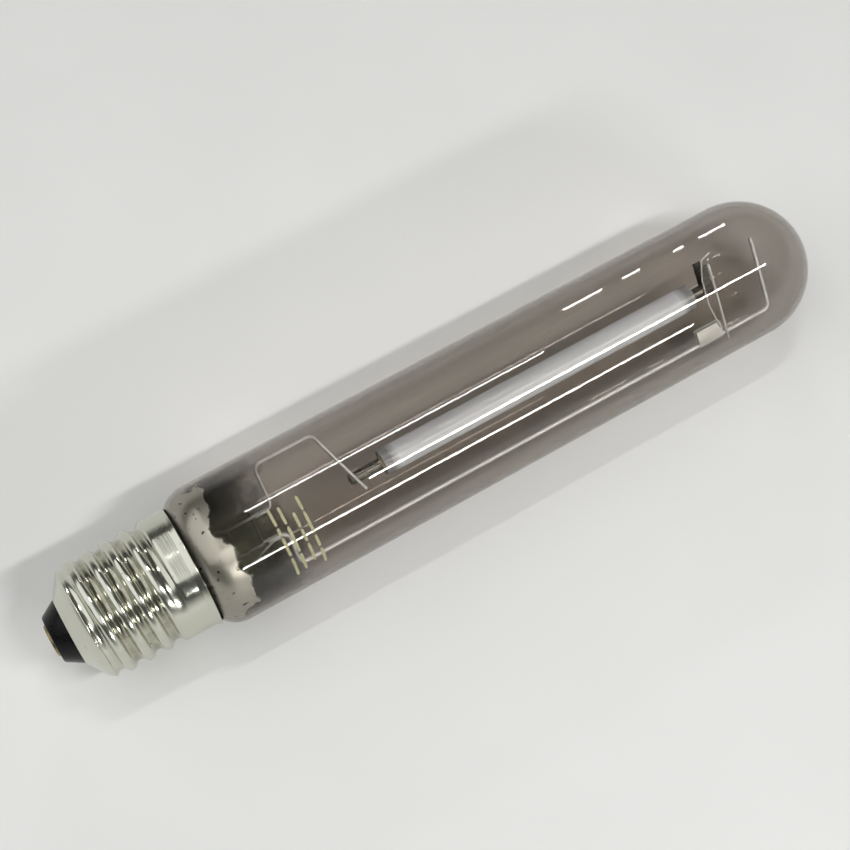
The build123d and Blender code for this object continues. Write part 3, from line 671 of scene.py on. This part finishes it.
def cap_piece():
    """The cap as a rolled sheet: the turned outline of foot, wall, collar and rim, with the thread rolled
    into it. Along one pitch the thread's radius is two equal arcs, crest and root, and the place in the
    pitch moves on by one turn of the angle. Each groove gets shallow as its root nears the collar, and the
    radius is the smaller of outline and thread, with a soft change between them."""
    columns = 288
    corner = FOOT_X + (CREST_R - FOOT_R) / tan(FOOT_SLOPE)
    wall = spread(bent([(FOOT_X, FOOT_R), (corner, CREST_R), (COLLAR_X, CREST_R)], [FOOT_BEND], 24), 0.22)
    rim_r = CREST_R + RIM_FLARE
    flare = bent([(COLLAR_X, CREST_R), (FLARE_X, CREST_R), (RIM_X, rim_r - 0.05)], [FLARE_BEND], 8)[1:-1]
    rim = arc((RIM_X - RIM_EDGE_R, rim_r - RIM_EDGE_R), RIM_EDGE_R, 100, -90, 10)
    inset = SHEET / cos(FOOT_SLOPE)
    back = np.array([
        (FLARE_X, COLLAR_BORE_R), (COLLAR_X + SHEET, COLLAR_BORE_R), (COLLAR_X + SHEET, BORE_R),
        (FOOT_X + (BORE_R - FOOT_R + inset) / tan(FOOT_SLOPE), BORE_R), (FOOT_X, FOOT_R - inset),
    ])
    grid = around(*np.concatenate([wall, flare, rim, back]).T, columns)
    angle = np.arange(columns)[None, :] * (2 * pi / columns)
    x = wall[:, :1]
    turns = (x - CREST_X) / PITCH - (angle - CREST_ANGLE) / (2 * pi)
    from_root = (turns - np.floor(turns) - 0.5) * PITCH
    u = PITCH / 2 - np.abs(from_root)
    bend = (THREAD_DEPTH ** 2 + PITCH ** 2 / 4) / (4 * THREAD_DEPTH)
    crest = bend - np.sqrt(bend ** 2 - np.minimum(u, PITCH / 4) ** 2)
    root = THREAD_DEPTH - bend + np.sqrt(bend ** 2 - np.minimum(PITCH / 2 - u, PITCH / 4) ** 2)
    drop = np.where(u < PITCH / 4, crest, root)
    left = np.clip((THREAD_RUN_OUT[1] - (x - from_root)) / (THREAD_RUN_OUT[1] - THREAD_RUN_OUT[0]), 0, 1)
    thread = CREST_R - drop * left * left * (3 - 2 * left)
    foot = wall[:, 1:] < CREST_R - 0.01
    gap = np.clip(0.5 + 0.5 * (thread - wall[:, 1:]) / THREAD_BLEND, 0, 1)
    radius = thread + (wall[:, 1:] - thread) * gap - THREAD_BLEND * gap * (1 - gap) * foot
    spots = np.broadcast_arrays(x, radius * np.cos(angle), radius * np.sin(angle))
    grid[:len(wall)] = np.stack(spots, -1)
    faces = lattice(len(grid), columns, loop=True)
    put("cap_sheet", grid.reshape(-1, 3), faces, plate, "cap_shell", 32.0)


def at_both_ends(name, outline, skin, replaced, columns):
    """The same turned piece at the base end and, mirrored, at the dome end of the arc tube."""
    outline = np.asarray(outline, float)
    turned(name + "_base", outline, skin, replaced + "_base", columns)
    mirrored = outline[::-1] * (-1, 1) + (ARC_BOTH, 0)
    turned(name + "_dome", mirrored, skin, replaced + "_dome", columns)


def end_tube(tip_x):
    """Outline of an end tube: closed blunt tip outside the arc tube, plain tube, open inner end."""
    return np.concatenate([
        [(tip_x, 0.0), (tip_x, TIP_BEND)],
        arc((tip_x + TIP_BEND, NIOBIUM_R - TIP_BEND), TIP_BEND, 170, 92, 8),
        [(tip_x + 1.6, NIOBIUM_R), (PLUG_IN, NIOBIUM_R), (PLUG_IN, NIOBIUM_BORE)],
        [(tip_x + NIOBIUM_R, NIOBIUM_BORE), (tip_x + NIOBIUM_R, 0.0)],
    ])


def winding(name, start_x, ahead, replaced):
    """A close winding: a round wire carried along a helix about the electrode rod."""
    t = np.linspace(0, 2 * pi * (COIL_TURNS - 1), 240)
    x = start_x + ahead * (COIL_PITCH / 2 + t / (2 * pi) * COIL_PITCH)
    line = np.stack([x, COIL_R * np.cos(t), ahead * COIL_R * np.sin(t)], -1)
    grid = tube_about(line, np.full(len(t), COIL_WIRE_R), 12, (1, 0, 0))
    points, faces = capped(grid, line[0], line[-1])
    put(name, points, faces, tungsten, replaced, 60.0)


def solder_bead():
    """The bead on the rim: a low dome whose height falls with the square of the distance from its
    middle."""
    columns, middle_x, foot_r = 40, RIM_X - BEAD_R, CREST_R + WELD_GAP
    rho = np.linspace(1.0, 0.06, 12)[:, None]
    angle = -np.arange(columns)[None, :] * (2 * pi / columns)
    x = middle_x + BEAD_R * rho * np.cos(angle)
    z = BEAD_R * rho * np.sin(angle)
    height = foot_r + BEAD_HIGH * (1 - rho ** 2)
    grid = np.stack(np.broadcast_arrays(x, height, z), -1)
    points, faces = capped(grid, (middle_x, CREST_R, 0), (middle_x, foot_r + BEAD_HIGH, 0))
    put("rim_solder", rolled(points), faces, tin, "side_solder", 60.0)


outside, inside = bulb_line(0.0), bulb_line(BULB_WALL)
turned("bulb", np.concatenate([inside[::-1], outside]), bulb_glass, "outer_bulb", 192)
stem_piece()
turned("exhaust_tubing", [
    (EXHAUST_TIP, 0), (EXHAUST_TIP, 0.5), (EXHAUST_TIP + 0.5, 1.05), (EXHAUST_TIP + 2.4, 1.75),
    (EXHAUST_NECK, EXHAUST_R), (PRESS_START - STEM_WALL, EXHAUST_R),
    (PRESS_START - STEM_WALL, EXHAUST_BORE), (EXHAUST_NECK, EXHAUST_BORE), (EXHAUST_TIP + 1.8, 0),
], stem_glass, "exhaust_tube", 48)
film_piece()
print_bars()

cap_piece()
turned("cap_foot_glass", np.concatenate([
    [(CONTACT_END, CONTACT_R + 0.06), (FACE_X + 0.25, CONTACT_R + 0.06), (FACE_X, CONTACT_R + 0.3)],
    [(FACE_X, FACE_R - FACE_BEVEL - 0.3)],
    arc((FACE_X + FACE_BEND, FACE_R - FACE_BEND), FACE_BEND, 175, 128, 7),
    [(FOOT_X - 0.5, FOOT_R - 0.37), (FOOT_X - 0.15, FOOT_R - 0.2), (FOOT_X, FOOT_R - 0.5)],
    [(FOOT_X, FOOT_R - SHEET / cos(FOOT_SLOPE)), (PLUG_END, PLUG_R)],
    [(PLUG_END, SHANK_R), (CONTACT_END, SHANK_R)],
]), foot_glass, "cap_insulator", 128, 30.0)
turned("cap_contact", np.concatenate([
    [(0.0, 0.0), (0.0, CONTACT_R - 0.7)],
    arc((CONTACT_BEND, CONTACT_R - CONTACT_BEND), CONTACT_BEND, 175, 95, 8),
    [(CONTACT_END, CONTACT_R), (CONTACT_END, SHANK_R), (PLUG_END, SHANK_R)],
    [(PLUG_END, CONTACT_HOLE_R), (CONTACT_END, CONTACT_HOLE_R), (CONTACT_END, 0.0)],
]), brass, "centre_contact", 96, 30.0)
turned("contact_joint", [
    (PLUG_END, JOINT_HOLE_R), (PLUG_END, SHANK_R), (PLUG_END + 0.14, 1.1), (PLUG_END + 0.36, 0.75),
    (JOINT_END, 0.46), (JOINT_END, JOINT_HOLE_R),
], tin, "contact_solder", 48)
turned("cement_ring", [
    (CEMENT_END - CEMENT_LONG, NECK_R), (CEMENT_END - CEMENT_LONG, BORE_R), (COLLAR_X + SHEET, BORE_R),
    (COLLAR_X + SHEET, COLLAR_BORE_R), (CEMENT_END - CEMENT_EDGE, COLLAR_BORE_R),
    (CEMENT_END, COLLAR_BORE_R - CEMENT_EDGE), (CEMENT_END, NECK_R),
], cement, "basing_cement", 128)
solder_bead()

turned("ceramic_tube", [
    (ARC_BASE, TUBE_BORE), (ARC_BASE, TUBE_R - TUBE_EDGE), (ARC_BASE + TUBE_EDGE, TUBE_R),
    (ARC_DOME - TUBE_EDGE, TUBE_R), (ARC_DOME, TUBE_R - TUBE_EDGE), (ARC_DOME, TUBE_BORE),
], ceramic, "arc_tube", 96)
at_both_ends("plug", [
    (PLUG_X, NIOBIUM_R), (PLUG_X, TUBE_BORE), (PLUG_IN, TUBE_BORE), (PLUG_IN, NIOBIUM_R),
], ceramic, "end_plug", 64)
turned("end_tube_base", end_tube(ARC_BASE - BASE_TUBE_OUT), niobium, "niobium_tube_base", 64)
turned("end_tube_dome", end_tube(ARC_BASE - DOME_TUBE_OUT)[::-1] * (-1, 1) + (ARC_BOTH, 0), niobium,
       "niobium_tube_dome", 64)
at_both_ends("frit_bead", np.concatenate([
    [(PLUG_X - FRIT_R, NIOBIUM_R)], arc((PLUG_X - FRIT_R, NIOBIUM_R + FRIT_R), FRIT_R, -75, -12, 7),
    [(PLUG_X, NIOBIUM_R + FRIT_R), (PLUG_X, NIOBIUM_R)],
]), frit, "frit_seal", 64)
at_both_ends("electrode", [
    (PLUG_IN - 2.0, 0.0), (PLUG_IN - 2.0, NIOBIUM_BORE), (PLUG_IN - 1.0, NIOBIUM_BORE),
    (PLUG_IN - 1.0, ROD_R), (ROD_END - 0.2, ROD_R), (ROD_END, ROD_R - 0.2), (ROD_END, 0.0),
], tungsten, "electrode_rod", 40)
winding("coil_base", COIL_START, 1.0, "electrode_coil_base")
winding("coil_dome", ARC_BOTH - COIL_START, -1.0, "electrode_coil_dome")
dose = arc((0.0, 0.0), DOSE_R, 180, 0, 15)
dose[[0, -1], 1] = 0.0
turned("amalgam_dose", dose, amalgam, "amalgam_pellet", 32,
       shift=(PLUG_IN + DOSE_HALF + FIT_GAP, 0, DOSE_HALF - TUBE_BORE + FIT_GAP))

for side, end_name in ((1, "frame"), (-1, "support")):
    offset = side * LEAD_OFFSET
    wire("seal_" + end_name, [(SEAL_START, offset, 0), (SEAL_END, offset, 0)], SEAL_D, bright_wire,
         "seal_wire_" + end_name)
wire("frame_wire", bent([
    (PRESS_END + FRAME_D, LEAD_OFFSET, -FRAME_LIFT), (FRAME_RISE, LEAD_OFFSET, -FRAME_LIFT),
    (FRAME_RISE, FRAME_OFFSET, -FRAME_LIFT), (HOOK_X, FRAME_OFFSET, -FRAME_LIFT),
    (HOOK_X, HOOK_END, -FRAME_LIFT),
], [FRAME_BEND] * 3), FRAME_D, bright_wire, "frame_rod", 28)
SUPPORT_TOUCH = NIOBIUM_R + SUPPORT_D / 2 + WELD_GAP
SUPPORT_REACH = hypot(SUPPORT_OFFSET, SUPPORT_LIFT)
SUPPORT_HEAD = atan2(SUPPORT_LIFT, SUPPORT_OFFSET) - asin(SUPPORT_TOUCH / SUPPORT_REACH)
TIP_X, TIP_OFFSET = SUPPORT_TIP
wire("support_loop", bent([
    (PRESS_END + SUPPORT_D, -LEAD_OFFSET, -SUPPORT_LIFT), (SUPPORT_RISE, -LEAD_OFFSET, -SUPPORT_LIFT),
    (SUPPORT_RISE, -SUPPORT_OFFSET, -SUPPORT_LIFT), (SUPPORT_FALL, -SUPPORT_OFFSET, -SUPPORT_LIFT),
    (TIP_X, TIP_OFFSET, (SUPPORT_OFFSET + TIP_OFFSET) * tan(SUPPORT_HEAD) - SUPPORT_LIFT),
], [SUPPORT_BEND] * 3), SUPPORT_D, bright_wire, "support_wire", 24)
TUBE_TOUCH = NIOBIUM_R + CROSS_D / 2 + WELD_GAP
FRAME_TOUCH = (FRAME_D + CROSS_D) / 2 + WELD_GAP
FRAME_REACH = hypot(FRAME_OFFSET, FRAME_LIFT)
CROSS_HEAD = asin((TUBE_TOUCH - FRAME_TOUCH) / FRAME_REACH) - atan2(FRAME_LIFT, FRAME_OFFSET)
CROSS_RUN = np.array([0.0, cos(CROSS_HEAD), sin(CROSS_HEAD)])
CROSS_FOOT = np.array([CROSS_X, TUBE_TOUCH * sin(CROSS_HEAD), -TUBE_TOUCH * cos(CROSS_HEAD)])
wire("cross_bar", [
    CROSS_FOOT - CROSS_RUN * CROSS_TAIL, CROSS_FOOT + CROSS_RUN * (FRAME_OFFSET + CROSS_PAST),
], CROSS_D, bright_wire, "cross_wire")
hairpin("strap", (STRAP_END, 0, 0), NIOBIUM_R + FIT_GAP + STRAP_THICK / 2, STRAP_LEAF, STRAP_WIDE,
        STRAP_THICK, niobium, "niobium_strap")
hairpin("getter_leaf", (STRIP_END, FRAME_OFFSET, -FRAME_LIFT), STRIP_FOLD + STRIP_THICK / 2, STRIP_LEAF,
        STRIP_WIDE, STRIP_THICK, strip_steel, "getter_strip")
wire("flexible_tail", bent([
    (STRIP_END - 0.5, FRAME_OFFSET - STRIP_LEAF + 2.4, TAIL_LIFT),
    (TAIL_X - 0.5, LEAD_OFFSET, TAIL_LIFT), (TAIL_X - 0.5, -4.5, TAIL_LIFT),
    (TAIL_X + 1.2, -11.4, TAIL_LIFT), (TAIL_X + 4.8, -12.6, TAIL_LIFT),
], TAIL_BENDS), TAIL_D, bright_wire, "flexible_lead", 16)
turned("getter_channel", [
    (0.0, 2.9), (0.0, 3.2), (1.0, 3.2), (1.0, 4.2), (0.0, 4.2), (0.0, RING_R), (1.15, RING_R),
    (RING_DEEP, 4.35), (RING_DEEP, 3.05), (1.15, 2.9),
], strip_steel, "getter_ring", 64, shift=rolled((RING_X, LEAD_OFFSET, -RING_OFFSET))[0])
wire("getter_stalk", bent([
    (STALK_X, LEAD_OFFSET, -STALK_LIFT), (STALK_X + 2.0, LEAD_OFFSET, -STALK_LIFT),
    (STALK_WELD, LEAD_OFFSET, -STALK_SIDE), (STALK_WELD + 3.0, LEAD_OFFSET, -STALK_SIDE),
], [STALK_BEND] * 2), STALK_D, bright_wire, "getter_post", 16)
wire("lead_to_contact", bent([
    (SEAL_START, -LEAD_OFFSET, 0), (LEAD_TURN, -LEAD_OFFSET, 0), (14.0, 0, 0),
    (CONTACT_END + WELD_GAP, 0, 0),
], [LEAD_BEND] * 2), CENTRE_LEAD_D, copper, "outer_lead_centre", 16)
wire("lead_to_rim", bent([
    (SEAL_START, LEAD_OFFSET, 0), (LEAD_TURN, LEAD_OFFSET, 0), (LEAD_TURN, NECK_R + SIDE_LIFT, 0),
    (SIDE_TURN, NECK_R + SIDE_LIFT, 0), (SIDE_END, NECK_R + SIDE_LIFT + SIDE_END - SIDE_TURN, 0),
], [LEAD_BEND, LEAD_BEND, NECK_BEND - SIDE_LIFT]), SIDE_LEAD_D, copper, "outer_lead_side",
     12)


def floor_piece():
    """A large flat sheet of pale paper under the lamp. Far from the lamp it shows its own tone, unlit, to
    the camera and in metal and glass, as a backdrop. Distances are in metres."""
    # Matt white paper: warm white with a faint cloudiness.
    made, tree, spot = new_finish("matt_white_paper")
    cloud = node(tree, "ShaderNodeTexNoise", Vector=spot, Scale=every(70.0), Detail=2.0)
    tone = node(tree, "ShaderNodeValToRGB", Fac=cloud, stops=((0.3, "#E2E2E0"), (0.7, "#E5E5E3")))
    paper = node(tree, "ShaderNodeBsdfPrincipled", Base_Color=tone, Roughness=0.85)
    pale = node(tree, "ShaderNodeEmission", Color=tone, Strength=1.0)
    ray = node(tree, "ShaderNodeLightPath").node.outputs
    mirrored = node(tree, "ShaderNodeMath", {"operation": "MAXIMUM"}, Value_0=ray["Is Glossy Ray"],
                    Value_1=ray["Is Transmission Ray"])
    seen = node(tree, "ShaderNodeMath", {"operation": "MAXIMUM"}, Value_0=ray["Is Camera Ray"],
                Value_1=mirrored)
    away = node(tree, "ShaderNodeVectorMath", {"operation": "LENGTH"}, Vector_0=spot).node.outputs["Value"]
    far = node(tree, "ShaderNodeMapRange", Value=away, From_Min=0.5, From_Max=1.2)
    backdrop = node(tree, "ShaderNodeMath", {"operation": "MULTIPLY"}, Value_0=seen, Value_1=far)
    wear(made, tree, node(tree, "ShaderNodeMixShader", Fac=backdrop, Shader_1=paper, Shader_2=pale))
    mesh = bpy.data.meshes.new("floor")
    low, reach = -BULB_R * MM, 12.0
    corners = [(-reach, -reach, low), (reach, -reach, low), (reach, reach, low), (-reach, reach, low)]
    mesh.from_pydata(corners, [], [(0, 1, 2, 3)])
    mesh.materials.append(made)
    piece = bpy.data.objects.new("floor", mesh)
    bpy.context.scene.collection.objects.link(piece)


def lamp_panel(name, at, long, wide, glow):
    """A rectangular light, long along X, of a given glow per area, turned to face the lamp's axis. Its
    place and size are in millimetres."""
    data = bpy.data.lights.new(name, "AREA")
    data.shape = "RECTANGLE"
    data.size, data.size_y = long * MM, wide * MM
    data.energy = glow * pi * data.size * data.size_y
    panel = bpy.data.objects.new(name, data)
    bpy.context.scene.collection.objects.link(panel)
    panel.visible_camera = False
    back = Vector((0, at[1], at[2])).normalized()
    right = Vector((1, 0, 0))
    turn = Matrix((right, back.cross(right), back)).transposed().to_4x4()
    panel.matrix_world = Matrix.Translation(Vector(at) * MM) @ turn


floor_piece()
for light in LIGHTS:
    lamp_panel(*light)

# A plain grey room: pale at the horizon and darker above.
world = bpy.data.worlds.new("studio")
bpy.context.scene.world = world
world.use_nodes = True
room = world.node_tree
sky = node(room, "ShaderNodeTexCoord")
height = node(room, "ShaderNodeSeparateXYZ", Vector=sky).node.outputs["Z"]
shade = node(room, "ShaderNodeValToRGB", Fac=height,
             stops=((0.0, "#E6E6E4"), (0.12, "#B4B4B2"), (0.3, "#525250")))
room.links.new(shade, room.nodes["Background"].inputs["Color"])

bpy.context.scene.view_settings.view_transform = "Standard"
view = bpy.data.cameras.new("camera")
view.lens, view.sensor_width, view.clip_start = CAMERA_LENS, CAMERA_SENSOR, 0.01
camera = bpy.data.objects.new("camera", view)
bpy.context.scene.collection.objects.link(camera)
ahead = Vector(CAMERA_AHEAD).normalized()
right = Vector(CAMERA_RIGHT).normalized()
stand = Vector(CAMERA_STAND) * MM
turn = Matrix((right, right.cross(ahead), -ahead)).transposed().to_4x4()
camera.matrix_world = Matrix.Translation(stand) @ turn
bpy.context.scene.camera = camera
